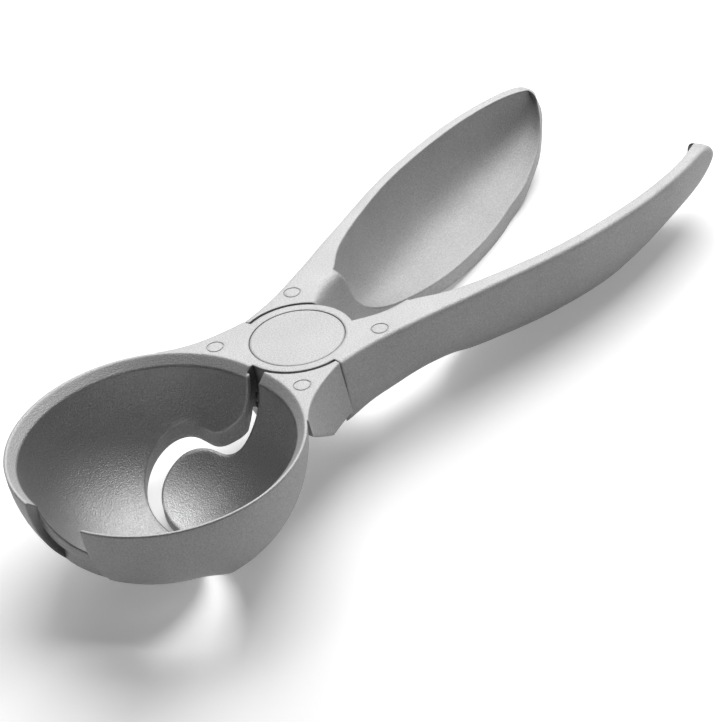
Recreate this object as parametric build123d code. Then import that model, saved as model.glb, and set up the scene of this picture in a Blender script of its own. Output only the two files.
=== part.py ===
"""Lever ice cream scoop: two die-cast levers that cross at a sprung pivot.

Millimetres.  The origin is where the pivot axis meets the top plane, +Z points
out of the bowl mouth, -X towards the bowl and +X towards the handle tips.
Each lever is drawn in its own frame, with its bowl centre on -X, and is then
turned by half the open angle.  Lever B's neck and grip are drawn like lever A's
and mirrored.
"""
import math
import os

from build123d import *

# ---- driving sizes ------------------------------------------------------
BOWL_RADIUS = 32.0            # outside of the hemispherical bowl
BOWL_WALL = 2.55
RIM_LAND = 0.55               # flat ring on top of the bowl wall
RIM_BEVEL_DEPTH = 2.1         # bevel inside the rim
PIVOT_TO_BOWL = 45.6          # pivot axis to bowl axis
OPEN_ANGLE = 6.0              # the two levers turn this far to close the bowl
LIP_THICKNESS = 0.9           # thin front lip of lever A
LIP_SHOULDER_ANGLE = 2.6      # where the lip starts, from the lever axis
LIP_CLEARANCE = 0.35          # lip to the inside of lever B's front wall
SKIRT_RADIUS = 27.0           # plan radius of the lower edge of B's front wall
SKIRT_EDGE_ANGLE = -4.5       # front edge of B's wall, from its lever axis
LIP_STEP_INSET = 1.3          # A is full thickness this far inside the skirt edge
SKIRT_RELIEF_RADIUS = 29.2    # plan radius that the lip's pocket in B reaches
SKIRT_RELIEF_ANGLES = (12.0, 2.0)   # how far the pocket runs behind and past the edge

HUB_RADIUS = 13.35            # round plate each lever turns on
HUB_GAP = 0.75                # air between a plate and the other lever
HUB_DEPTH = 15.6              # both plates together
PLATE_GAP = 0.6               # axial space between the plates
SEAM_ANGLE = 7.5              # open-stop faces, measured from the Y axis
SEAM_GAP_ANGLE = 0.9
STOP_SPAN = 1.35              # radial width of the stop faces on top

COVER_RADIUS = 11.05          # disc that hides the pivot screw
COVER_THICKNESS = 1.8
COVER_GROOVE = 0.14           # radial groove left around the disc
SCREW_HEAD_RADIUS = 5.6
SCREW_HEAD_HEIGHT = 2.0
SCREW_RADIUS = 2.45
SOCKET_FLATS = 4.0
SOCKET_DEPTH = 1.1
SLEEVE_WALL = 1.5
SLEEVE_FIT = 0.05             # on the radius, inside and outside the sleeve
BUSH_WALL = 1.0
RETAINER_RADIUS = 6.6
RETAINER_THICKNESS = 0.6
NUT_FLATS = 8.0
NUT_HEIGHT = 1.7
BOTTOM_CAP_RADIUS = 8.2
BOTTOM_CAP_THICKNESS = 1.2
AXIAL_PLAY = 0.08
HEAD_ROOM = 0.35              # radial room around heads, nut and retainer

SPRING_WIRE = 1.2
SPRING_TURNS = 2.75
SPRING_RADIUS = 8.0           # to the middle of the wire
SPRING_ROOM = 0.3             # around the wire in its pocket
SPRING_POCKET_DEPTH = 2.3     # in each plate
SPRING_LEG = 1.3              # length of each end let into a plate
SPRING_LEG_RADIUS = 0.5
SPRING_LEG_FIT = 0.1          # on the radius
WASHER_THICKNESS = 0.5
WASHER_INNER_RADIUS = 10.2
WASHER_OUTER_RADIUS = 12.8

MARK_RADIUS = 2.1             # round witness marks on the four flat arms
MARK_WIDTH = 0.35
MARK_DEPTH = 0.12
NECK_MARK = (-13.6, 13.2)
GRIP_MARK = (13.6, -13.3)

# ---- sizes that follow --------------------------------------------------
BOWL_INNER_RADIUS = BOWL_RADIUS - BOWL_WALL
LIP_OUTER_RADIUS = BOWL_INNER_RADIUS + LIP_THICKNESS
PLATE_THICKNESS = (HUB_DEPTH - PLATE_GAP) / 2
LOWER_PLATE_TOP = -PLATE_THICKNESS - PLATE_GAP
CLEAR_RADIUS = max(HUB_RADIUS, WASHER_OUTER_RADIUS) + HUB_GAP
STOP_RADIUS = CLEAR_RADIUS + STOP_SPAN
SLEEVE_RADIUS = SCREW_RADIUS + SLEEVE_FIT + SLEEVE_WALL
BUSH_INNER_RADIUS = SLEEVE_RADIUS + SLEEVE_FIT
BUSH_RADIUS = BUSH_INNER_RADIUS + BUSH_WALL
HEAD_TOP = -COVER_THICKNESS - AXIAL_PLAY
SLEEVE_TOP = HEAD_TOP - SCREW_HEAD_HEIGHT
NUT_BOTTOM = -HUB_DEPTH + BOTTOM_CAP_THICKNESS + AXIAL_PLAY
NUT_TOP = NUT_BOTTOM + NUT_HEIGHT
RETAINER_TOP = NUT_TOP + RETAINER_THICKNESS
BORE_SHOULDER = RETAINER_TOP + AXIAL_PLAY
REACH = 2 * BOWL_RADIUS       # cutting bodies reach this far past a face
BOWL_AXIS = Pos(-PIVOT_TO_BOWL, 0, 0)
HALF_OPEN = OPEN_ANGLE / 2


# ---- helpers ------------------------------------------------------------
def prism(outline, top, bottom):
    """Straight body along Z from a closed outline in plan."""
    face = make_face(outline)
    return Pos(0, 0, bottom) * extrude(face, amount=top - bottom, dir=(0, 0, 1))


def disc(radius, top, bottom):
    """Round body on the pivot axis between two heights."""
    return Pos(0, 0, (top + bottom) / 2) * Cylinder(radius, top - bottom)


def ring(outer, inner, top, bottom):
    """Round tube on the pivot axis."""
    return disc(outer, top, bottom) - disc(inner, top + 1, bottom - 1)


def forward(radius, degrees):
    """Plan point at a distance from the pivot, turned from -X towards +Y."""
    turn = math.radians(degrees)
    return (-radius * math.cos(turn), radius * math.sin(turn))


def about_bowl(radius, turn):
    """Plan point at a distance from the bowl axis, the turn in radians."""
    return (-PIVOT_TO_BOWL + radius * math.cos(turn), radius * math.sin(turn))


# ---- bowl ---------------------------------------------------------------
def bowl_inside():
    """The hollow of the bowl, with the bevel inside its rim."""
    bevel_radius = math.sqrt(BOWL_INNER_RADIUS**2 - RIM_BEVEL_DEPTH**2)
    mid = BOWL_INNER_RADIUS * math.sqrt(0.5)
    mouth = BOWL_RADIUS - RIM_LAND
    sphere = ThreePointArc((0, -BOWL_INNER_RADIUS), (mid, -mid), (bevel_radius, -RIM_BEVEL_DEPTH))
    rest = Polyline((bevel_radius, -RIM_BEVEL_DEPTH), (mouth, 0), (mouth, 1), (0, 1), (0, -BOWL_INNER_RADIUS))
    return BOWL_AXIS * revolve(make_face(Plane.XZ * (sphere + rest)), Axis.Z, 360)


def bowl_outside():
    """Solid half ball of the bowl's outside."""
    mid = BOWL_RADIUS * math.sqrt(0.5)
    arc = ThreePointArc((BOWL_RADIUS, 0), (mid, -mid), (0, -BOWL_RADIUS))
    rest = Polyline((0, -BOWL_RADIUS), (0, 0), (BOWL_RADIUS, 0))
    return BOWL_AXIS * revolve(make_face(Plane.XZ * (arc + rest)), Axis.Z, 360)


# The bowl is divided along an S.  Each lever's side of it is one spline through
# the turning points of that S, in the lever's own frame, from hub to front.
S_EDGE_A = [
    (-13.0, 0.4), (-17.6, 0.6), (-19.9, 3.4), (-22.4, 7.5), (-23.8, 12.8), (-26.9, 16.5),
    (-32.2, 18.1), (-37.3, 16.6), (-41.1, 12.6), (-43.1, 7.8), (-43.8, 2.0), (-44.2, -4.3),
    (-45.1, -10.1), (-47.6, -14.9), (-51.2, -18.1), (-56.0, -19.8), (-60.8, -20.0),
    (-65.1, -18.0), (-68.6, -13.4), (-71.6, -6.9), (-74.0, 0.2), (-74.8, 3.4),
]
S_EDGE_B = [
    (-13.0, -2.2), (-16.5, -1.9), (-19.3, -0.4), (-22.0, 1.4), (-23.9, 4.6), (-24.6, 8.3),
    (-28.3, 13.7), (-32.6, 15.0), (-37.0, 14.1), (-40.0, 11.4), (-41.8, 6.4), (-42.7, -0.9),
    (-44.3, -10.3), (-47.4, -17.0), (-52.2, -21.3), (-57.7, -22.9), (-61.6, -21.8),
]


def side_a():
    """Everything on lever A's side of the S, as a straight body."""
    corner = forward(PIVOT_TO_BOWL + REACH, LIP_SHOULDER_ANGLE)
    far = -PIVOT_TO_BOWL - REACH
    border = Polyline(S_EDGE_A[-1], corner, (far, REACH), (0, REACH), (0, 0), S_EDGE_A[0])
    return prism(Spline(S_EDGE_A) + border, 1, -REACH)


def side_b():
    """Everything on lever B's side of the S, behind its front skirt."""
    last = S_EDGE_B[-1]
    start = math.atan2(last[1], last[0] + PIVOT_TO_BOWL) % (2 * math.pi)
    front_x, front_y = forward(PIVOT_TO_BOWL + BOWL_RADIUS, SKIRT_EDGE_ANGLE)
    end = math.atan2(front_y, front_x + PIVOT_TO_BOWL) % (2 * math.pi)
    skirt = ThreePointArc(
        about_bowl(SKIRT_RADIUS, start),
        about_bowl(SKIRT_RADIUS, (start + end) / 2),
        about_bowl(SKIRT_RADIUS, end),
    )
    edge = Spline(S_EDGE_B[:-1] + [about_bowl(SKIRT_RADIUS, start)])
    corner = forward(PIVOT_TO_BOWL + REACH, SKIRT_EDGE_ANGLE)
    far = -PIVOT_TO_BOWL - REACH
    border = Polyline(
        about_bowl(SKIRT_RADIUS, end), corner, (far, -REACH), (0, -REACH), (0, 0), S_EDGE_B[0]
    )
    return prism(edge + skirt + border, 1, -REACH)


def lip_relief():
    """Metal taken off the outside of lever A's front lip."""
    corner = forward(PIVOT_TO_BOWL + REACH, LIP_SHOULDER_ANGLE)
    front = prism(Polyline((0, 0), corner, (corner[0], -REACH), (0, -REACH), close=True), 1, -REACH)
    outer = BOWL_AXIS * (Sphere(BOWL_RADIUS + 1) - Sphere(LIP_OUTER_RADIUS))
    outer -= BOWL_AXIS * Cylinder(SKIRT_RADIUS - LIP_STEP_INSET, 3 * REACH)
    return outer & front


def skirt_relief():
    """Metal taken off the inside of lever B's front wall so the lip passes."""
    behind, past = SKIRT_RELIEF_ANGLES
    corner = forward(PIVOT_TO_BOWL + REACH, SKIRT_EDGE_ANGLE - behind)
    front = forward(PIVOT_TO_BOWL + REACH, SKIRT_EDGE_ANGLE + past)
    sector = prism(Polyline((-PIVOT_TO_BOWL, 0), front, corner, close=True), 1, -REACH)
    inner = BOWL_AXIS * (Sphere(LIP_OUTER_RADIUS + LIP_CLEARANCE) & Cylinder(SKIRT_RELIEF_RADIUS, 3 * REACH))
    return inner & sector


# ---- neck and grip, drawn for lever A --------------------------------------
def seam_point(radius, degrees, side):
    """Point on a stop face, turned from the Y axis towards the bowl."""
    turn = math.radians(degrees)
    return (-radius * math.sin(turn), side * radius * math.cos(turn))


# Outer edge of the neck on top, and how far it stands out above its foot.
NECK_EDGE = [(-9.2, 16.3), (-14.6, 17.9), (-19.2, 20.2), (-23.0, 23.0)]
NECK_FLARE = 2.2
NECK_FOOT_BEVEL = 3.2
NECK_ROOT = [(-34.0, 14.0), (-32.0, -6.0), (3.0, -6.0)]   # lies inside the bowl and hub
# Underside of the neck: x, and its height as a part of the hub's depth.
NECK_UNDERSIDE = [(-4.5, 1.0), (-9.6, 0.904), (-16.3, 0.635), (-24.5, 0.18)]


def neck_outline(flare):
    """Plan outline of the neck, its outer edge moved out by a flare."""
    angle = SEAM_ANGLE + HALF_OPEN + SEAM_GAP_ANGLE / 2
    stop_x, stop_y = seam_point(STOP_RADIUS, angle, 1)
    edge = [(NECK_ROOT[-1][0], stop_y + flare), (stop_x, stop_y + flare)]
    edge += [(x, y + flare) for x, y in NECK_EDGE]
    inner = Polyline([edge[-1]] + NECK_ROOT + [edge[0]])
    return make_face(Spline(edge) + inner)


def neck():
    """Web between the bowl half and the hub, its underside rising to the rim."""
    levels = [
        neck_outline(0),
        Pos(0, 0, NECK_FOOT_BEVEL - HUB_DEPTH) * neck_outline(NECK_FLARE),
        Pos(0, 0, -HUB_DEPTH) * neck_outline(NECK_FLARE - NECK_FOOT_BEVEL),
    ]
    web = loft(levels, ruled=True)
    curve_points = [(x, -HUB_DEPTH * part) for x, part in NECK_UNDERSIDE]
    curve = Spline(curve_points, tangents=[(-1, 0), (-1, 1)])
    first_x, first_z = curve_points[0]
    last_z = curve_points[-1][1]
    far = [(-REACH, last_z), (-REACH, -REACH), (first_x, -REACH), (first_x, first_z)]
    rest = Polyline([curve_points[-1]] + far)
    web -= extrude(make_face(Plane.XZ * (curve + rest)), amount=REACH, both=True)
    foot = seam_point(REACH, SEAM_ANGLE + HALF_OPEN + SEAM_GAP_ANGLE / 2, 1)
    return web - prism(Polyline((0, 0), foot, (REACH, REACH), (REACH, 0), close=True), 5, -REACH)


# Outside of the grip: x, wall y, rim y, depth at the rim; how far the inner side
# leans, the radius of its roll into the top, how far the outer wall leans out; then
# how far down, in and under the two middle points of the curve lie, as parts of
# the depth and width.
GRIP_OUTER = [
    (-3.0, -15.5, -2.0, 15.6, 0.0, 0.4, 3.4, 0.96, -0.24, 1.05),
    (7.0, -16.1, -2.6, 15.6, 0.3, 0.6, 3.1, 0.96, -0.20, 1.05),
    (12.3, -16.8, -4.4, 15.6, 0.5, 1.4, 2.6, 0.95, -0.12, 1.05),
    (16.0, -17.5, -5.6, 15.6, 0.6, 2.6, 2.0, 0.94, -0.04, 1.05),
    (21.0, -18.5, -6.9, 15.6, 0.7, 3.6, 1.4, 0.92, 0.03, 1.04),
    (27.0, -19.8, -7.9, 16.0, 0.4, 3.6, 1.1, 0.88, 0.09, 1.04),
    (32.0, -21.0, -8.4, 17.2, 0.0, 3.0, 1.0, 0.81, 0.15, 1.03),
    (37.0, -22.1, -7.3, 19.4, 0.0, 2.0, 1.0, 0.73, 0.19, 1.03),
    (44.0, -23.6, -5.8, 20.9, 0.0, 1.5, 1.0, 0.72, 0.19, 1.03),
    (52.0, -25.4, -4.9, 21.9, 0.0, 1.5, 1.0, 0.72, 0.19, 1.04),
    (60.0, -27.0, -4.6, 22.5, 0.0, 1.5, 1.0, 0.72, 0.19, 1.04),
    (68.0, -28.2, -4.9, 22.8, 0.0, 1.5, 1.0, 0.71, 0.20, 1.04),
    (76.0, -28.9, -5.7, 22.7, 0.0, 1.5, 1.0, 0.70, 0.20, 1.03),
    (84.0, -29.2, -7.0, 22.2, 0.0, 1.5, 1.0, 0.66, 0.22, 1.00),
    (92.0, -29.1, -8.6, 21.0, 0.0, 1.5, 1.0, 0.60, 0.25, 0.97),
    (100.0, -28.4, -10.3, 19.0, 0.0, 1.5, 0.9, 0.56, 0.26, 0.95),
    (106.0, -27.5, -12.1, 16.8, 0.0, 1.5, 0.9, 0.56, 0.24, 0.95),
    (111.0, -26.4, -14.0, 14.4, 0.1, 2.0, 0.9, 0.60, 0.20, 0.96),
    (114.5, -25.5, -15.8, 11.6, 0.6, 3.0, 0.9, 0.65, 0.14, 0.99),
    (117.5, -24.7, -17.6, 8.6, 1.2, 3.4, 0.8, 0.68, 0.10, 0.99),
    (119.2, -24.1, -19.6, 6.0, 0.9, 1.5, 0.3, 0.72, 0.10, 0.98),
]
# How far the top has rounded down near the tip.
GRIP_TIP_DROP = {100.0: 0.02, 106.0: 0.06, 111.0: 0.15, 114.5: 0.42, 117.5: 1.15, 119.2: 2.5}
# Hollow of the grip: x, wall y at the top, rim y and depth at the rim.
GRIP_HOLLOW = [
    (26.0, -10.9, -10.2, 0.6),
    (27.3, -11.7, -10.3, 4.6),
    (29.0, -12.9, -10.0, 9.2),
    (32.0, -14.9, -8.8, 13.4),
    (37.0, -17.3, -7.3, 16.3),
    (44.0, -19.7, -5.8, 17.7),
    (52.0, -21.9, -4.9, 18.5),
    (60.0, -23.8, -4.6, 18.9),
    (68.0, -25.0, -4.9, 18.9),
    (76.0, -25.7, -5.7, 18.7),
    (84.0, -26.0, -7.0, 18.2),
    (92.0, -25.9, -8.6, 17.3),
    (100.0, -25.2, -10.3, 15.9),
    (106.0, -24.2, -12.1, 13.8),
    (111.0, -22.8, -14.0, 11.2),
    (114.5, -21.4, -15.8, 8.0),
    (116.6, -20.6, -17.4, 4.2),
]
GRIP_EDGE_ROUND = 1.4
HOLLOW_OVERRUN = 12.0


def section_plane(x):
    """Plane across the grip, its first axis along Y and its second along Z."""
    return Plane(origin=(x, 0, 0), x_dir=(0, 1, 0), z_dir=(1, 0, 0))


def grip_section(x, wall_y, rim_y, depth, slant, roll, lean, down, inward, under):
    """Outside of the grip at one place along it."""
    top = -GRIP_TIP_DROP.get(x, 0)
    edge = min(GRIP_EDGE_ROUND, (depth + top) * 0.4)
    wall_top = (wall_y, top - edge)
    low_wall = (wall_y - lean, -depth * down)
    low_floor = (wall_y + inward * (rim_y - wall_y), -depth * under)
    rim = (rim_y, -depth)
    side_y = rim_y - slant
    corner = Bezier((wall_y + edge, top), (wall_y, top), wall_top)
    belly = Bezier(wall_top, low_wall, low_floor, rim)
    inner_side = Line(rim, (side_y, top - roll))
    inner_edge = Bezier((side_y, top - roll), (side_y, top), (side_y - roll, top))
    flat = Line((side_y - roll, top), (wall_y + edge, top))
    return make_face(section_plane(x) * (corner + belly + inner_side + inner_edge + flat))


def hollow_section(x, wall_y, rim_y, depth):
    """Hollow of the grip at one place along it, open above and inwards."""
    width = rim_y - wall_y
    wall_low = (wall_y - 0.3, -0.62 * depth)
    floor_out = (wall_y + 0.28 * width, -1.01 * depth)
    rim = (rim_y, -depth)
    past = rim_y + HOLLOW_OVERRUN
    belly = Bezier((wall_y, 0), wall_low, floor_out, rim)
    rest = Polyline(rim, (past, -depth), (past, 5), (wall_y, 5), (wall_y, 0))
    return make_face(section_plane(x) * (belly + rest))


def grip():
    """Hollow leaf-shaped grip with its block beside the hub."""
    body = loft([grip_section(*station) for station in GRIP_OUTER])
    hollow = loft([hollow_section(*station) for station in GRIP_HOLLOW])
    angle = SEAM_ANGLE - HALF_OPEN - SEAM_GAP_ANGLE / 2
    foot = seam_point(REACH, angle, -1)
    beyond = prism(Polyline((0, 0), foot, (-REACH, -REACH), (-REACH, 0), close=True), 5, -REACH)
    return body - hollow - beyond


def witness_mark(place):
    """Fine round groove left by casting on a flat arm."""
    x, y = place
    outer = Pos(x, y, 0) * Cylinder(MARK_RADIUS, 2 * MARK_DEPTH)
    return outer - Pos(x, y, 0) * Cylinder(MARK_RADIUS - MARK_WIDTH, 3 * MARK_DEPTH)


# ---- levers -----------------------------------------------------------------
def lever_a():
    """Upper lever: far bowl half, upper hub plate, near grip."""
    bowl = ((bowl_outside() + neck()) - bowl_inside()) & side_a()
    bowl -= lip_relief()
    arms = bowl + grip()
    arms -= disc(CLEAR_RADIUS, -PLATE_THICKNESS, -REACH)
    body = arms + disc(HUB_RADIUS, 0, -PLATE_THICKNESS)
    body -= disc(COVER_RADIUS + COVER_GROOVE, 1, HEAD_TOP)
    body -= disc(SCREW_HEAD_RADIUS + HEAD_ROOM, 0, SLEEVE_TOP)
    body -= disc(SLEEVE_RADIUS, 0, -REACH)
    body -= spring_pocket(-PLATE_THICKNESS + SPRING_POCKET_DEPTH, -PLATE_THICKNESS - 1)
    body -= spring_leg_hole(0, True)
    for place in (NECK_MARK, GRIP_MARK):
        body -= witness_mark(place)
    return Rot(0, 0, -HALF_OPEN) * body


def lever_b():
    """Lower lever: near bowl half, lower hub plate, far grip."""
    shell = bowl_outside() + mirror(neck(), about=Plane.XZ)
    bowl = (shell - bowl_inside()) & side_b()
    bowl -= skirt_relief()
    arms = bowl + mirror(grip(), about=Plane.XZ)
    arms -= disc(CLEAR_RADIUS, 5, LOWER_PLATE_TOP)
    body = arms + disc(HUB_RADIUS, LOWER_PLATE_TOP, -HUB_DEPTH)
    body -= disc(BUSH_RADIUS, 1, -REACH)
    body -= disc(RETAINER_RADIUS + HEAD_ROOM, BORE_SHOULDER, -REACH)
    body -= disc(BOTTOM_CAP_RADIUS, -HUB_DEPTH + BOTTOM_CAP_THICKNESS, -REACH)
    body -= spring_pocket(LOWER_PLATE_TOP + 1, LOWER_PLATE_TOP - SPRING_POCKET_DEPTH)
    body -= spring_leg_hole(-HALF_OPEN, False)
    for x, y in (NECK_MARK, GRIP_MARK):
        body -= witness_mark((x, -y))
    return Rot(0, 0, HALF_OPEN) * body


# ---- spring ------------------------------------------------------------------
SPRING_TOP = -PLATE_THICKNESS + SPRING_POCKET_DEPTH - SPRING_ROOM - SPRING_WIRE / 2
SPRING_BOTTOM = LOWER_PLATE_TOP - SPRING_POCKET_DEPTH + SPRING_ROOM + SPRING_WIRE / 2


def spring_pocket(top, bottom):
    """Ring-shaped recess for the coil."""
    reach = SPRING_WIRE / 2 + SPRING_ROOM
    return ring(SPRING_RADIUS + reach, SPRING_RADIUS - reach, top, bottom)


def leg_angle(upper):
    """Angle of a spring end around the pivot, both levers in the open position."""
    return 360 * SPRING_TURNS if upper else 0.0


def spring_leg(upper, room):
    """Straight spring end that stands in a hole of its plate."""
    turn = math.radians(leg_angle(upper))
    x = SPRING_RADIUS * math.cos(turn)
    y = SPRING_RADIUS * math.sin(turn)
    length = SPRING_LEG + SPRING_WIRE / 2 + room
    middle = SPRING_TOP + length / 2 if upper else SPRING_BOTTOM - length / 2
    return Pos(x, y, middle) * Cylinder(SPRING_LEG_RADIUS + room, length)


def spring_leg_hole(back_turn, upper):
    """Hole for a spring end, in the frame of the lever that holds it."""
    turned = HALF_OPEN if upper else back_turn
    return Rot(0, 0, turned) * spring_leg(upper, SPRING_LEG_FIT)


def torsion_spring():
    """Coil of square wire between the plates, an end standing in each lever."""
    height = SPRING_TOP - SPRING_BOTTOM
    path = Pos(0, 0, SPRING_BOTTOM) * Helix(height / SPRING_TURNS, height, SPRING_RADIUS)
    start = Plane(origin=path @ 0, z_dir=path % 0)
    coil = sweep(start * Rectangle(SPRING_WIRE, SPRING_WIRE), path)
    return coil + spring_leg(True, 0) + spring_leg(False, 0)


# ---- pivot hardware --------------------------------------------------------------
def cover_disc():
    """Flush disc over the pivot screw."""
    body = disc(COVER_RADIUS, 0, -COVER_THICKNESS - AXIAL_PLAY)
    return chamfer(body.edges().group_by(Axis.Z)[-1], 0.15)


def pivot_screw():
    """Flat-headed screw with a hexagon socket."""
    head = disc(SCREW_HEAD_RADIUS, HEAD_TOP, SLEEVE_TOP)
    shank = disc(SCREW_RADIUS, SLEEVE_TOP, NUT_BOTTOM)
    hexagon = RegularPolygon(SOCKET_FLATS / math.sqrt(3), 6).wire()
    socket = prism(hexagon, HEAD_TOP + 1, HEAD_TOP - SOCKET_DEPTH)
    return head + shank - socket


def pivot_sleeve():
    """Spacer tube that the bush turns on."""
    return ring(SLEEVE_RADIUS, SCREW_RADIUS + SLEEVE_FIT, SLEEVE_TOP, RETAINER_TOP)


def bearing_bush():
    """Bush pressed into the lower plate."""
    return ring(BUSH_RADIUS, BUSH_INNER_RADIUS, LOWER_PLATE_TOP, BORE_SHOULDER)


def thrust_washer():
    """Ring between the plates, lying against the upper one."""
    top = -PLATE_THICKNESS
    return ring(WASHER_OUTER_RADIUS, WASHER_INNER_RADIUS, top, top - WASHER_THICKNESS)


def retaining_washer():
    """Washer that holds the lower lever up on the sleeve."""
    return ring(RETAINER_RADIUS, SCREW_RADIUS, RETAINER_TOP, NUT_TOP)


def lock_nut():
    """Thin hexagon nut."""
    body = prism(RegularPolygon(NUT_FLATS / math.sqrt(3), 6).wire(), NUT_TOP, NUT_BOTTOM)
    return body - disc(SCREW_RADIUS, NUT_TOP + 1, NUT_BOTTOM - 1)


def bottom_cap():
    """Plug that closes the lower plate."""
    return disc(BOTTOM_CAP_RADIUS, -HUB_DEPTH + BOTTOM_CAP_THICKNESS, -HUB_DEPTH)


NODES = {
    "lever_a": lever_a,
    "lever_b": lever_b,
    "cover_disc": cover_disc,
    "pivot_screw": pivot_screw,
    "pivot_sleeve": pivot_sleeve,
    "bearing_bush": bearing_bush,
    "thrust_washer": thrust_washer,
    "torsion_spring": torsion_spring,
    "retaining_washer": retaining_washer,
    "lock_nut": lock_nut,
    "bottom_cap": bottom_cap,
}


def main():
    """Build every node and write one file for each."""
    os.makedirs("parts", exist_ok=True)
    for name, make in NODES.items():
        body = make()
        export_step(body, f"parts/{name}.step")
        print(name, round(body.volume, 1), len(body.solids()))


if __name__ == "__main__":
    main()
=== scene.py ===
"""Dresses the lever ice cream scoop: castings, pivot hardware, floor, lamps and camera."""
import logging
import math
from dataclasses import dataclass, field
from enum import Enum
from typing import Any

import bmesh
import bpy
from mathutils import Matrix, Quaternion, Vector


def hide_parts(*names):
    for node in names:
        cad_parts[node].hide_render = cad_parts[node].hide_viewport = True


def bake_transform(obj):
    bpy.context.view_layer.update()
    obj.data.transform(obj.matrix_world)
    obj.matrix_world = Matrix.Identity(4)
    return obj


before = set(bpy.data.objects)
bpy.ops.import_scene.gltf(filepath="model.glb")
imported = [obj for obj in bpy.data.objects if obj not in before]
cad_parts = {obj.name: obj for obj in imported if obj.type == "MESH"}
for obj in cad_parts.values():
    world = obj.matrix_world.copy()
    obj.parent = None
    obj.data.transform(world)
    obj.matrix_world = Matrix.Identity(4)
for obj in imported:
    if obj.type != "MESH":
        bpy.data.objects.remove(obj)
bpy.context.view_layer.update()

LOG = logging.getLogger("scoop")
IMAGE_SIDE = 722                # pixels along each side of the render
PIVOT_TO_BOWL = 0.0456          # metres from the pivot to the bowl's centre
HALF_OPEN = math.radians(3)     # turn of each lever from the middle when the tool is open
MASK_SAMPLES = 8                # rays behind each point of a shading mask

MIX_SHARE, MIX_FIRST, MIX_SECOND = 0, 6, 7      # inputs of a colour mix
MIX_RESULT = 2                                  # its output

Colour = tuple[float, float, float, float]
Place = tuple[float, float, float]


class Part(Enum):
    """Names of the CAD nodes, so that no name is typed twice."""

    LEVER_A = "lever_a"
    LEVER_B = "lever_b"
    COVER = "cover_disc"
    SCREW = "pivot_screw"
    SLEEVE = "pivot_sleeve"
    BUSH = "bearing_bush"
    WASHER = "thrust_washer"
    SPRING = "torsion_spring"
    RETAINER = "retaining_washer"
    NUT = "lock_nut"
    BOTTOM_CAP = "bottom_cap"


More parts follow.
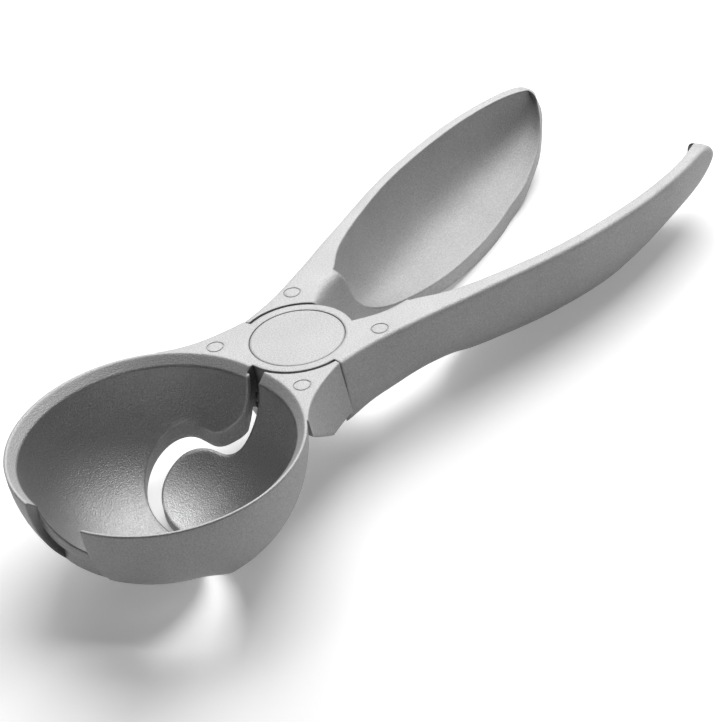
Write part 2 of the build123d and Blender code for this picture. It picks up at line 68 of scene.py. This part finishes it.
# ---- shaders and finishes -----------------------------------------------------
class Shader:
    """A node material that is built one small step at a time."""

    def __init__(self, name: str) -> None:
        """Starts an empty node tree with a Principled shader.

        Args:
            name: name of the new material.
        """
        self.material = bpy.data.materials.new(name)
        self.material.use_nodes = True
        self.tree = self.material.node_tree
        self.tree.nodes.clear()
        self.output = self.tree.nodes.new("ShaderNodeOutputMaterial")
        self.surface = self.tree.nodes.new("ShaderNodeBsdfPrincipled")
        self.tree.links.new(self.surface.outputs["BSDF"], self.output.inputs["Surface"])
        coordinates = self.tree.nodes.new("ShaderNodeTexCoord")
        self.place = coordinates.outputs["Object"]

    def node(self, kind: str, **settings: Any) -> bpy.types.Node:
        """Adds a node and sets its properties.

        Args:
            kind: Blender's identifier of the node type.
            **settings: properties to set on the node.

        Returns:
            The new node.
        """
        made = self.tree.nodes.new(kind)
        for name, value in settings.items():
            setattr(made, name, value)
        return made

    def link(self, source: bpy.types.NodeSocket, target: bpy.types.NodeSocket) -> None:
        """Joins two sockets."""
        self.tree.links.new(source, target)

    def noise(self, scale: float, detail: float,
              roughness: float = 0.5) -> bpy.types.NodeSocket:
        """Adds a noise pattern on object coordinates.

        Args:
            scale: cells per metre.
            detail: octaves of finer noise.
            roughness: strength of the finer octaves.

        Returns:
            The noise value, from 0 to 1.
        """
        made = self.node("ShaderNodeTexNoise")
        made.inputs["Scale"].default_value = scale
        made.inputs["Detail"].default_value = detail
        made.inputs["Roughness"].default_value = roughness
        self.link(self.place, made.inputs["Vector"])
        return made.outputs["Fac"]

    def spread(self, value: bpy.types.NodeSocket, low: float, high: float,
               start: float = 0.3, end: float = 0.7) -> bpy.types.NodeSocket:
        """Maps a pattern from one range to another.

        Args:
            value: the pattern.
            low: result at start.
            high: result at end.
            start: pattern value that gives low.
            end: pattern value that gives high.

        Returns:
            The mapped value.
        """
        made = self.node("ShaderNodeMapRange")
        made.inputs["From Min"].default_value = start
        made.inputs["From Max"].default_value = end
        made.inputs["To Min"].default_value = low
        made.inputs["To Max"].default_value = high
        self.link(value, made.inputs["Value"])
        return made.outputs["Result"]

    def blend(self, share: bpy.types.NodeSocket, first: Colour,
              second: Colour) -> bpy.types.NodeSocket:
        """Mixes two colours by a pattern.

        Args:
            share: pattern from 0 for the first colour to 1 for the second.
            first: colour at 0.
            second: colour at 1.

        Returns:
            The mixed colour.
        """
        made = self.node("ShaderNodeMix", data_type="RGBA")
        made.inputs[MIX_FIRST].default_value = first
        made.inputs[MIX_SECOND].default_value = second
        self.link(share, made.inputs[MIX_SHARE])
        return made.outputs[MIX_RESULT]

    def tint(self, share: bpy.types.NodeSocket, colour: Colour) -> bpy.types.NodeSocket:
        """Multiplies a colour by a pattern.

        Args:
            share: pattern around 1.
            colour: colour where the pattern is 1.

        Returns:
            The tinted colour.
        """
        made = self.node("ShaderNodeVectorMath", operation="SCALE")
        made.inputs[0].default_value = colour[:3]
        self.link(share, made.inputs["Scale"])
        return made.outputs["Vector"]

    def combine(self, operation: str, first: bpy.types.NodeSocket,
                second: bpy.types.NodeSocket) -> bpy.types.NodeSocket:
        """Joins two values by arithmetic.

        Args:
            operation: Blender's name of the arithmetic.
            first: first value.
            second: second value.

        Returns:
            The result.
        """
        made = self.node("ShaderNodeMath", operation=operation)
        self.link(first, made.inputs[0])
        self.link(second, made.inputs[1])
        return made.outputs["Value"]

    def bump(self, height: bpy.types.NodeSocket, depth: float,
             normal: bpy.types.NodeSocket | None = None) -> None:
        """Adds fine relief to the surface.

        Args:
            height: pattern from 0 to 1.
            depth: height of the relief in metres.
            normal: softened normal that the relief stands on, if not the mesh's own.
        """
        made = self.node("ShaderNodeBump")
        if normal:
            self.link(normal, made.inputs["Normal"])
        made.inputs["Strength"].default_value = 1.0
        made.inputs["Distance"].default_value = depth
        self.link(height, made.inputs["Height"])
        self.link(made.outputs["Normal"], self.surface.inputs["Normal"])


def grey(value: float) -> Colour:
    """Gives a linear grey of the given brightness with full alpha."""
    return (value, value, value, 1.0)


@dataclass(frozen=True)
class BlastedCasting:
    """Bead-blasted die-cast aluminium: matte and sandy, with painted shade in its hollows and
    brighter edges, partly wear and partly a painted highlight.

    Lengths are in metres. A span gives the mask values at which a change starts and ends.
    """

    name: str
    brightness: float = 0.59
    metallic: float = 0.3
    specular: float = 0.3
    roughness: float = 0.54
    roughness_swing: float = 0.06
    mottle: float = 0.05
    mottle_per_metre: float = 55.0
    mottle_detail: float = 4.0
    speckle: float = 0.22
    grain_per_metre: float = 2700.0
    grain_detail: float = 3.0
    grain_harshness: float = 0.65
    grain_depth: float = 0.00015
    # painted shade in hollows: how dark it gets, how far its mask looks, and the mask values
    # where it starts and ends
    hollow_shade_share: float = 0.2
    hollow_shade_reach: float = 0.035
    hollow_shade_span: tuple[float, float] = (0.48, 0.92)
    # brighter edges, partly wear and partly a painted highlight: how bright they get, and the
    # mask values where it starts and ends
    edge_wear_highlight_share: float = 1.16
    edge_radius: float = 0.001
    edge_wear_highlight_span: tuple[float, float] = (0.75, 0.98)
    bowl_radius: float = 0.0297
    bowl_fade: float = 0.0001
    bowl_metallic: float = 0.75
    bowl_roughness: float = 0.42

    def build(self, bowl: Vector | None = None) -> bpy.types.Material:
        """Makes the material.

        Args:
            bowl: centre of the bowl that scooping has burnished inside, if there is one.

        Returns:
            The finished material.
        """
        shader = Shader(self.name)
        surface = shader.surface
        surface.inputs["Metallic"].default_value = self.metallic
        surface.inputs["Specular IOR Level"].default_value = self.specular
        cloud = shader.noise(self.mottle_per_metre, self.mottle_detail)
        grain = shader.noise(self.grain_per_metre, self.grain_detail, self.grain_harshness)
        bevel = shader.node("ShaderNodeBevel", samples=MASK_SAMPLES)
        bevel.inputs["Radius"].default_value = self.edge_radius
        softened = bevel.outputs["Normal"]
        tone = shader.spread(cloud, 1.0 - self.mottle, 1.0 + self.mottle)
        sand = shader.spread(grain, 1.0 - self.speckle, 1.0 + self.speckle / 2)
        # brightness shares: random grain, painted shade in hollows, and brighter edges that are
        # partly wear and partly a painted highlight
        for share in (sand, self.painted_hollow_shade(shader), self.edge_wear_and_highlight(shader, softened)):
            tone = shader.combine("MULTIPLY", tone, share)
        shader.link(shader.tint(tone, grey(self.brightness)), surface.inputs["Base Color"])
        rough = shader.spread(grain, self.roughness + self.roughness_swing,
                              self.roughness - self.roughness_swing)
        if bowl:
            burnished = self.burnish(shader, bowl)
            shine = shader.spread(burnished, self.metallic, self.bowl_metallic, 0.0, 1.0)
            shader.link(shine, surface.inputs["Metallic"])
            smoother = shader.spread(burnished, 0.0, self.roughness - self.bowl_roughness,
                                     0.0, 1.0)
            rough = shader.combine("SUBTRACT", rough, smoother)
        shader.link(rough, surface.inputs["Roughness"])
        shader.bump(grain, self.grain_depth, softened)
        return shader.material

    def burnish(self, shader: Shader, bowl: Vector) -> bpy.types.NodeSocket:
        """Finds the inside of the bowl, burnished by scooping.

        Args:
            shader: the material being built.
            bowl: centre of the bowl.

        Returns:
            1 inside the bowl and 0 elsewhere.
        """
        reach = shader.node("ShaderNodeVectorMath", operation="DISTANCE")
        reach.inputs[1].default_value = bowl
        shader.link(shader.place, reach.inputs[0])
        full = self.bowl_radius - self.bowl_fade
        none = self.bowl_radius + self.bowl_fade
        return shader.spread(reach.outputs["Value"], 1.0, 0.0, full, none)

    def painted_hollow_shade(self, shader: Shader) -> bpy.types.NodeSocket:
        """Finds hollows and darkens them, as painted shade.

        Args:
            shader: the material being built.

        Returns:
            Share of the brightness left, from the hollow shade share to 1.
        """
        openness = shader.node("ShaderNodeAmbientOcclusion", samples=MASK_SAMPLES,
                               only_local=True)
        openness.inputs["Distance"].default_value = self.hollow_shade_reach
        return shader.spread(openness.outputs["AO"], self.hollow_shade_share, 1.0, *self.hollow_shade_span)

    def edge_wear_and_highlight(self, shader: Shader, softened: bpy.types.NodeSocket) -> bpy.types.NodeSocket:
        """Finds edges and brightens them: partly wear from handling, partly a painted
        highlight.

        Args:
            shader: the material being built.
            softened: normal rounded over the edges.

        Returns:
            Share of the brightness, from 1 to the edge wear and highlight share.
        """
        geometry = shader.node("ShaderNodeNewGeometry")
        dot = shader.node("ShaderNodeVectorMath", operation="DOT_PRODUCT")
        shader.link(softened, dot.inputs[0])
        shader.link(geometry.outputs["Normal"], dot.inputs[1])
        return shader.spread(dot.outputs["Value"], self.edge_wear_highlight_share, 1.0, *self.edge_wear_highlight_span)


@dataclass(frozen=True)
class TurnedSteel:
    """Turned or drawn steel of the hidden pivot hardware."""

    name: str
    brightness: float = 0.55
    dark_share: float = 0.8
    light_share: float = 1.15
    roughness: float = 0.32
    roughness_fall: float = 0.06
    roughness_rise: float = 0.08
    rings_per_metre: float = 5200.0
    ring_wander: float = 1.2
    ring_share: float = 0.6
    groove_depth: float = 0.000008
    stain_per_metre: float = 220.0
    stain_detail: float = 3.0
    stain_share: float = 0.7

    def build(self) -> bpy.types.Material:
        """Makes the material.

        Returns:
            The finished material.
        """
        shader = Shader(self.name)
        surface = shader.surface
        surface.inputs["Metallic"].default_value = 1.0
        rings = shader.node("ShaderNodeTexWave", wave_type="RINGS", rings_direction="Z")
        rings.inputs["Scale"].default_value = self.rings_per_metre / math.tau
        rings.inputs["Distortion"].default_value = self.ring_wander
        shader.link(shader.place, rings.inputs["Vector"])
        streak = rings.outputs["Fac"]
        stain = shader.noise(self.stain_per_metre, self.stain_detail)
        tone = shader.combine("MULTIPLY", shader.spread(streak, self.ring_share, 1.0, 0.0, 1.0),
                              shader.spread(stain, self.stain_share, 1.0))
        shader.link(shader.blend(tone, grey(self.brightness * self.dark_share),
                                 grey(self.brightness * self.light_share)),
                    surface.inputs["Base Color"])
        shader.link(shader.spread(stain, self.roughness - self.roughness_fall,
                                  self.roughness + self.roughness_rise),
                    surface.inputs["Roughness"])
        shader.bump(streak, self.groove_depth)
        return shader.material


@dataclass(frozen=True)
class MouldedPolymer:
    """Natural bearing polymer with a faint moulded texture."""

    name: str
    colour: Colour = (0.78, 0.76, 0.68, 1.0)
    dark_share: Colour = (0.92, 0.91, 0.88, 1.0)
    subsurface: float = 0.1
    cloud_per_metre: float = 160.0
    cloud_detail: float = 3.0
    roughness: float = 0.45
    roughness_fall: float = 0.05
    roughness_rise: float = 0.07
    texture_per_metre: float = 1800.0
    texture_detail: float = 2.0
    texture_depth: float = 0.00002

    def build(self) -> bpy.types.Material:
        """Makes the material.

        Returns:
            The finished material.
        """
        shader = Shader(self.name)
        surface = shader.surface
        surface.inputs["Subsurface Weight"].default_value = self.subsurface
        cloud = shader.noise(self.cloud_per_metre, self.cloud_detail)
        fine = shader.noise(self.texture_per_metre, self.texture_detail)
        darker = tuple(level * share for level, share in zip(self.colour, self.dark_share))
        shader.link(shader.blend(shader.spread(cloud, 0.0, 1.0), self.colour, darker),
                    surface.inputs["Base Color"])
        shader.link(shader.spread(fine, self.roughness - self.roughness_fall,
                                  self.roughness + self.roughness_rise),
                    surface.inputs["Roughness"])
        shader.bump(fine, self.texture_depth)
        return shader.material


@dataclass(frozen=True)
class FloorPaper:
    """Pale paper: white to the eye and in reflections, a plain grey to bounced light."""

    name: str = "floor_paper"
    albedo_seen: float = 0.97
    albedo_bounce: float = 0.37
    glow_seen: float = 0.25
    fibre_contrast: float = 0.02
    fibres_per_metre: float = 900.0
    fibre_detail: float = 2.0

    def build(self) -> bpy.types.Material:
        """Makes the material.

        Returns:
            The finished material.
        """
        shader = Shader(self.name)
        shader.tree.nodes.remove(shader.surface)
        seen = shader.node("ShaderNodeBsdfDiffuse")
        glow = shader.node("ShaderNodeEmission")
        glow.inputs["Strength"].default_value = self.glow_seen
        lifted = shader.node("ShaderNodeAddShader")
        shader.link(seen.outputs[0], lifted.inputs[0])
        shader.link(glow.outputs[0], lifted.inputs[1])
        fibre = shader.noise(self.fibres_per_metre, self.fibre_detail)
        shader.link(shader.blend(fibre, grey(self.albedo_seen),
                                 grey(self.albedo_seen - self.fibre_contrast)),
                    seen.inputs["Color"])
        bounce = shader.node("ShaderNodeBsdfDiffuse")
        bounce.inputs["Color"].default_value = grey(self.albedo_bounce)
        rays = shader.node("ShaderNodeLightPath")
        direct = rays.outputs["Is Camera Ray"]
        for kind in ("Is Glossy Ray", "Is Transmission Ray"):
            direct = shader.combine("MAXIMUM", direct, rays.outputs[kind])
        mix = shader.node("ShaderNodeMixShader")
        shader.link(direct, mix.inputs[0])
        shader.link(bounce.outputs[0], mix.inputs[1])
        shader.link(lifted.outputs[0], mix.inputs[2])
        shader.link(mix.outputs[0], shader.output.inputs["Surface"])
        return shader.material


# ---- pieces of the scoop ------------------------------------------------------
@dataclass
class Casting:
    """One die-cast lever, its facets merged and its edges softened by blasting."""

    part: Part
    finish: BlastedCasting
    bowl_turn: float
    weld_gap: float = 0.000004
    edge_softness: float = 0.00045
    edge_steps: int = 3
    sharp_angle: float = math.radians(34)
    large_face_weight: int = 60

    def dress(self) -> None:
        """Softens the casting and gives it its finish."""
        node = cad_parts[self.part.value]
        bowl = Matrix.Rotation(self.bowl_turn, 3, "Z") @ Vector((-PIVOT_TO_BOWL, 0.0, 0.0))
        assign(node, self.finish.build(bowl))
        weld = node.modifiers.new("weld", "WELD")
        weld.merge_threshold = self.weld_gap
        bevel = node.modifiers.new("soft_edges", "BEVEL")
        bevel.width = self.edge_softness
        bevel.segments = self.edge_steps
        bevel.limit_method = "ANGLE"
        bevel.angle_limit = self.sharp_angle
        bevel.use_clamp_overlap = True
        bevel.miter_outer = "MITER_ARC"
        node.data.shade_smooth()
        flat = node.modifiers.new("even_faces", "WEIGHTED_NORMAL")
        flat.mode = "FACE_AREA"
        flat.weight = self.large_face_weight
        report(self.part.value)


@dataclass
class Hardware:
    """Pivot pieces that keep their CAD shape and only take a finish."""

    steel: TurnedSteel = TurnedSteel("turned_steel")
    polymer: MouldedPolymer = MouldedPolymer("bearing_polymer")
    steel_parts: tuple[Part, ...] = (Part.SCREW, Part.SLEEVE, Part.RETAINER, Part.NUT)
    polymer_parts: tuple[Part, ...] = (Part.BUSH, Part.WASHER)

    def dress(self) -> None:
        """Gives each hidden piece its finish."""
        steel = self.steel.build()
        polymer = self.polymer.build()
        for part in self.steel_parts:
            assign(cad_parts[part.value], steel)
            report(part.value)
        for part in self.polymer_parts:
            assign(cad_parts[part.value], polymer)
            report(part.value)


@dataclass
class TorsionSpring:
    """Coil of square wire with an end in each lever, so that it winds up as they close."""

    finish: TurnedSteel
    wire: float = 0.0012
    wire_round: float = 0.00016
    wire_round_steps: int = 2
    radius: float = 0.008
    turns: float = 2.75
    steps_per_turn: int = 40
    top: float = -0.0061
    bottom: float = -0.0095
    leg_radius: float = 0.0005
    leg_length: float = 0.0019
    leg_sides: int = 16
    sharp_angle: float = math.radians(50)

    def build(self) -> bpy.types.Object:
        """Makes the spring and hides the CAD spring in its place.

        Returns:
            The spring.
        """
        shape = bmesh.new()
        self.coil(shape)
        self.leg(shape, 0.0, self.bottom - self.leg_length / 2)
        self.leg(shape, self.turns * math.tau, self.top + self.leg_length / 2)
        bmesh.ops.recalc_face_normals(shape, faces=shape.faces)
        mesh = bpy.data.meshes.new("spring_coil")
        shape.to_mesh(mesh)
        shape.free()
        spring = bpy.data.objects.new("spring_coil", mesh)
        bpy.context.scene.collection.objects.link(spring)
        mesh.shade_smooth()
        mesh.set_sharp_from_angle(angle=self.sharp_angle)
        assign(spring, self.finish.build())
        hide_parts(Part.SPRING.value)
        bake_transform(spring)
        report("spring_coil")
        return spring

    def coil(self, shape: bmesh.types.BMesh) -> None:
        """Spins the wire's rounded square along the coil.

        Args:
            shape: mesh that receives the coil.
        """
        steps = round(self.turns * self.steps_per_turn)
        rise = (self.top - self.bottom) / steps
        stand = (Matrix.Translation((self.radius, 0.0, self.bottom))
                 @ Matrix.Rotation(math.pi / 2, 4, "X"))
        bmesh.ops.create_grid(shape, x_segments=1, y_segments=1, size=self.wire / 2,
                              matrix=stand)
        bmesh.ops.bevel(shape, geom=shape.verts[:], offset=self.wire_round,
                        segments=self.wire_round_steps, profile=0.5, affect="VERTICES",
                        material=-1)
        bmesh.ops.spin(shape, geom=shape.verts[:] + shape.edges[:] + shape.faces[:],
                       cent=(0.0, 0.0, 0.0), axis=(0.0, 0.0, 1.0), dvec=(0.0, 0.0, rise),
                       angle=self.turns * math.tau, steps=steps)

    def leg(self, shape: bmesh.types.BMesh, turn: float, middle: float) -> None:
        """Adds a straight end that stands in a lever.

        Args:
            shape: mesh that receives the end.
            turn: its angle around the pivot in radians.
            middle: height of its middle.
        """
        place = Vector((self.radius * math.cos(turn), self.radius * math.sin(turn), middle))
        bmesh.ops.create_cone(shape, cap_ends=True, segments=self.leg_sides,
                              radius1=self.leg_radius, radius2=self.leg_radius,
                              depth=self.leg_length, matrix=Matrix.Translation(place))


@dataclass
class Discs:
    """The flush discs above and below the pivot."""

    finish: BlastedCasting

    def dress(self) -> None:
        """Gives both discs their finish."""
        material = self.finish.build()
        for part in (Part.COVER, Part.BOTTOM_CAP):
            assign(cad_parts[part.value], material)
            report(part.value)


# ---- surroundings -------------------------------------------------------------
@dataclass
class Floor:
    """Pale floor that the bowl and both grips rest on."""

    finish: FloorPaper
    bowl_centre: Vector = field(default_factory=lambda: Vector((-PIVOT_TO_BOWL, 0.0, 0.0)))
    bowl_radius: float = 0.032
    half_side: float = 5.0

    def build(self) -> bpy.types.Object:
        """Makes the floor.

        Returns:
            The floor's object.
        """
        mesh = bpy.data.meshes.new("floor")
        shape = bmesh.new()
        bmesh.ops.create_grid(shape, x_segments=1, y_segments=1, size=self.half_side)
        tilt = self.tilt()
        down = Vector((math.sin(tilt), 0.0, -math.cos(tilt)))
        place = Matrix.Translation(self.bowl_centre + down * self.bowl_radius)
        slope = Matrix.Rotation(-tilt, 4, "Y")
        bmesh.ops.transform(shape, matrix=place @ slope, verts=shape.verts)
        shape.to_mesh(mesh)
        shape.free()
        floor = bpy.data.objects.new("floor", mesh)
        bpy.context.scene.collection.objects.link(floor)
        mesh.materials.append(self.finish.build())
        report("floor")
        return floor

    def tilt(self) -> float:
        """Finds the slope at which the bowl and a grip both touch the floor.

        Returns:
            The floor's turn about Y in radians, positive where it rises towards +X.
        """
        past_bowl = 2 * self.bowl_radius
        slopes = []
        for part in (Part.LEVER_A, Part.LEVER_B):
            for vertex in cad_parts[part.value].data.vertices:
                reach = vertex.co - self.bowl_centre
                span = math.hypot(reach.x, reach.z)
                if span > past_bowl:
                    to_vertex = math.atan2(reach.z, reach.x)
                    slopes.append(to_vertex + math.asin(self.bowl_radius / span))
        return min(slopes)


@dataclass(frozen=True)
class Lamp:
    """A square soft lamp that faces the tool."""

    name: str
    place: Place
    side: float
    power: float
    aim: Place = (0.02, 0.0, 0.0)

    def build(self) -> bpy.types.Object:
        """Hangs the lamp.

        Returns:
            The lamp.
        """
        light = bpy.data.lights.new(self.name, "AREA")
        light.shape = "SQUARE"
        light.size = self.side
        light.energy = self.power
        lamp = bpy.data.objects.new(self.name, light)
        bpy.context.scene.collection.objects.link(lamp)
        lamp.location = self.place
        lamp.rotation_mode = "QUATERNION"
        towards = Vector(self.aim) - Vector(self.place)
        lamp.rotation_quaternion = towards.to_track_quat("-Z", "Y")
        report(self.name)
        return lamp


@dataclass
class Studio:
    """A large soft lamp overhead, a weak one behind the tool, and a quiet room."""

    room_level: float = 0.03
    lamps: tuple[Lamp, ...] = (
        Lamp("key_lamp", place=(0.46, 0.17, 0.87), side=0.9, power=13.0),
        Lamp("back_lamp", place=(0.50, 0.72, 0.48), side=0.45, power=2.2),
    )

    def build(self) -> None:
        """Makes the world and hangs the lamps."""
        world = bpy.data.worlds.new("room")
        bpy.context.scene.world = world
        world.use_nodes = True
        tree = world.node_tree
        tree.nodes.clear()
        output = tree.nodes.new("ShaderNodeOutputWorld")
        room = tree.nodes.new("ShaderNodeBackground")
        room.inputs["Color"].default_value = grey(1.0)
        room.inputs["Strength"].default_value = self.room_level
        tree.links.new(room.outputs[0], output.inputs["Surface"])
        for lamp in self.lamps:
            lamp.build()


@dataclass
class Viewpoint:
    """The camera, above the bowl and looking along the grips."""

    place: Place = (-0.32009, -0.37412, 0.33170)
    target: Place = (0.01074, -0.00831, -0.01)
    roll: float = math.radians(9.317)
    focal_pixels: float = 2600.0
    sensor: float = 36.0
    clip_near: float = 0.01
    clip_far: float = 20.0

    def build(self) -> bpy.types.Object:
        """Makes the scene's camera.

        Returns:
            The camera.
        """
        data = bpy.data.cameras.new("camera")
        data.sensor_width = self.sensor
        data.lens = self.sensor * self.focal_pixels / IMAGE_SIDE
        data.clip_start = self.clip_near
        data.clip_end = self.clip_far
        camera = bpy.data.objects.new("camera", data)
        bpy.context.scene.collection.objects.link(camera)
        camera.location = self.place
        camera.rotation_mode = "QUATERNION"
        look = (Vector(self.target) - Vector(self.place)).to_track_quat("-Z", "Y")
        camera.rotation_quaternion = look @ Quaternion((0.0, 0.0, 1.0), -self.roll)
        bpy.context.scene.camera = camera
        report("camera")
        return camera


# ---- small helpers ------------------------------------------------------------
def assign(piece: bpy.types.Object, material: bpy.types.Material) -> None:
    """Puts one material in every slot of a piece.

    Args:
        piece: the piece to dress.
        material: its finish.
    """
    if not piece.material_slots:
        piece.data.materials.append(material)
    for slot in piece.material_slots:
        slot.material = material


def report(name: str) -> None:
    """Logs that a piece is made."""
    LOG.info("built %s", name)


def main() -> None:
    """Builds every part of the scene in order."""
    logging.basicConfig(level=logging.INFO)
    bpy.context.scene.view_settings.view_transform = "Standard"
    casting = BlastedCasting("blasted_casting")
    Casting(Part.LEVER_A, casting, bowl_turn=-HALF_OPEN).dress()
    Casting(Part.LEVER_B, casting, bowl_turn=HALF_OPEN).dress()
    Discs(BlastedCasting("blasted_disc", brightness=0.575)).dress()
    Hardware().dress()
    TorsionSpring(TurnedSteel("spring_wire", brightness=0.42, roughness=0.38)).build()
    Floor(FloorPaper()).build()
    Studio().build()
    Viewpoint().build()


if __name__ == "__main__":
    main()
